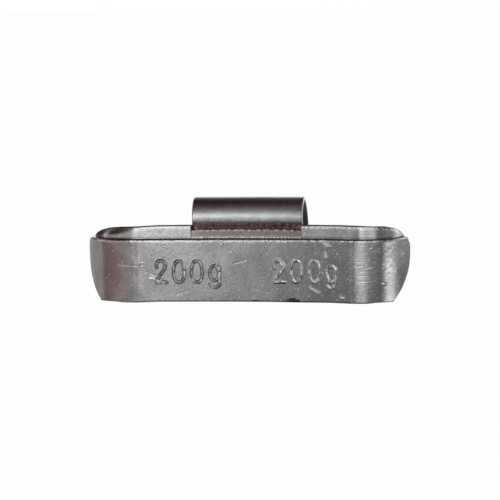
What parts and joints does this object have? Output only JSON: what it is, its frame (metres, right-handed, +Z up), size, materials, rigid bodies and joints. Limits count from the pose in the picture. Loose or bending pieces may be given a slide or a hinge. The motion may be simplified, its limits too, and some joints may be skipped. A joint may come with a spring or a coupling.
{
  "type": "clip-on wheel balance weight",
  "caption": "Cast lead balance weight with round ends and a bent steel clip that hooks over the lip of a truck wheel.",
  "frame": {"origin": "centre line of the clip's tight bend, at the middle of the weight's length", "axes": "+X along the weight to its right end, -Y out of the flat front, +Z up from the foot to the top of the clip"},
  "size_m": [0.0958, 0.0184, 0.0298],
  "materials": {
    "lead": "cast lead, dull grey with nicks and fine scratches",
    "spring_steel": "satin dark spring steel"
  },
  "bodies": {
    "root": {"lead_body": "lead", "spring_clip": "spring_steel"}
  },
  "joints": []
}
